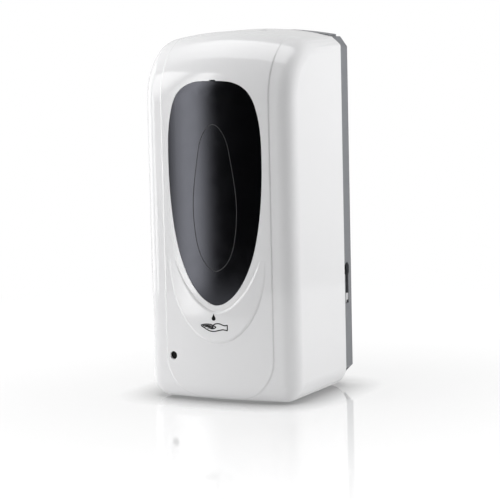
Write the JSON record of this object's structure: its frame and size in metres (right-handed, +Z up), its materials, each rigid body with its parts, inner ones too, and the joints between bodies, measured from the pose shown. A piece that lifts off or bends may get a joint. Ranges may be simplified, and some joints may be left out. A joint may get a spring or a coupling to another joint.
{
  "type": "wall mounted soap dispenser",
  "caption": "Tall white wall box with a bowed front, dark oval window, raised chin and grey back plate; its hinged cover hides a soap tank and a battery pump that gives soap from below.",
  "frame": {"origin": "middle of the rectangle of wall screws, on the wall plane at the back of the back plate", "axes": "+X to the right seen from the front, +Y into the wall, +Z up along the tall side"},
  "size_m": [0.1208, 0.1079, 0.268],
  "materials": {
    "cover_white": "gloss moulded white",
    "smoked": "polished dark smoked",
    "plate_grey": "fine satin grey",
    "frame_white": "satin off-white",
    "light_grey": "satin light grey",
    "black_plastic": "satin black",
    "gear_white": "natural moulded",
    "tank_clear": "frosted translucent",
    "clear_resin": "clear cast",
    "dark_resin": "polished dark",
    "board_green": "lacquered board",
    "black_rubber": "matte",
    "soft_rubber": "milky soft",
    "steel": "zinc plated",
    "plated_steel": "nickel plated",
    "motor_metal": "drawn and plated",
    "cell_jacket": "dark printed jacket with bare ends"
  },
  "bodies": {
    "back_unit": {"back_plate": "plate_grey", "chassis": "frame_white", "chassis_screws": "steel", "hinge_pins": "steel", "lead_grommet": "light_grey", "power_socket": "black_plastic", "battery_contacts": "plated_steel", "battery_cell_1": "cell_jacket", "battery_cell_2": "cell_jacket", "battery_cell_3": "cell_jacket", "battery_cell_4": "cell_jacket", "control_board": "board_green", "board_parts": "black_plastic", "sensor_board": "board_green", "sensor_emitter": "clear_resin", "sensor_receiver": "dark_resin", "sensor_window": "dark_resin", "motor_can": "motor_metal", "motor_cap": "black_plastic", "idler_pin": "steel", "pump_housing": "light_grey", "pump_plate": "light_grey", "pump_screws": "steel", "shaft_seal": "black_rubber", "inlet_hose": "soft_rubber", "nozzle": "soft_rubber", "tank_seal": "black_rubber", "service_panel": "light_grey", "panel_screws": "steel", "indicator_lamp": "clear_resin", "switch_body": "black_plastic", "latch_spring": "plated_steel"},
    "cover": {"front_cover": "cover_white", "window": "smoked", "window_clips": "plated_steel", "indicator_lens": "dark_resin"},
    "latch_slider": {"latch": "light_grey"},
    "pump_drive": {"drive_shaft": "steel", "drive_gear": "gear_white"},
    "pump_idler": {"idler_gear": "gear_white"},
    "soap_tank": {"tank": "tank_clear", "tank_top": "tank_clear"},
    "filler_cap": {"tank_cap": "plate_grey", "cap_gasket": "black_rubber"},
    "cell_door": {"battery_door": "light_grey"},
    "power_switch": {"switch_knob": "black_plastic"}
  },
  "joints": [
    {"name": "cover_hinge", "type": "hinge", "parent": "back_unit", "child": "cover", "pos_m": [0, -0.0085, -0.152], "axis": [1, 0, 0], "range_deg": [0, 90]},
    {"name": "latch_slide", "type": "slide", "parent": "back_unit", "child": "latch_slider", "axis": [0, 0, 1], "range_m": [-0.003, 0], "stiffness_N_per_m": 400, "springref_m": 0.004, "deforming": ["latch_spring"]},
    {"name": "pump_drive_spin", "type": "hinge", "parent": "back_unit", "child": "pump_drive", "pos_m": [-0.0075, -0.0688, -0.12], "axis": [0, 1, 0], "continuous": true},
    {"name": "pump_idler_spin", "type": "hinge", "parent": "back_unit", "child": "pump_idler", "pos_m": [0.0075, -0.0688, -0.12], "axis": [0, 1, 0], "continuous": true},
    {"name": "tank_lift", "type": "slide", "parent": "back_unit", "child": "soap_tank", "axis": [0, 0, 1], "range_m": [0, 0.008]},
    {"name": "cap_turn", "type": "hinge", "parent": "soap_tank", "child": "filler_cap", "pos_m": [0, -0.066, 0.08], "axis": [0, 0, 1], "range_deg": [0, 90]},
    {"name": "battery_door_slide", "type": "slide", "parent": "back_unit", "child": "cell_door", "axis": [0, 0, 1], "range_m": [0, 0.008]},
    {"name": "switch_slide", "type": "slide", "parent": "back_unit", "child": "power_switch", "axis": [0, 0, 1], "range_m": [0, 0.004]}
  ],
  "couplings": [
    {"joint": "pump_idler_spin", "follows": "pump_drive_spin", "ratio": -1}
  ]
}
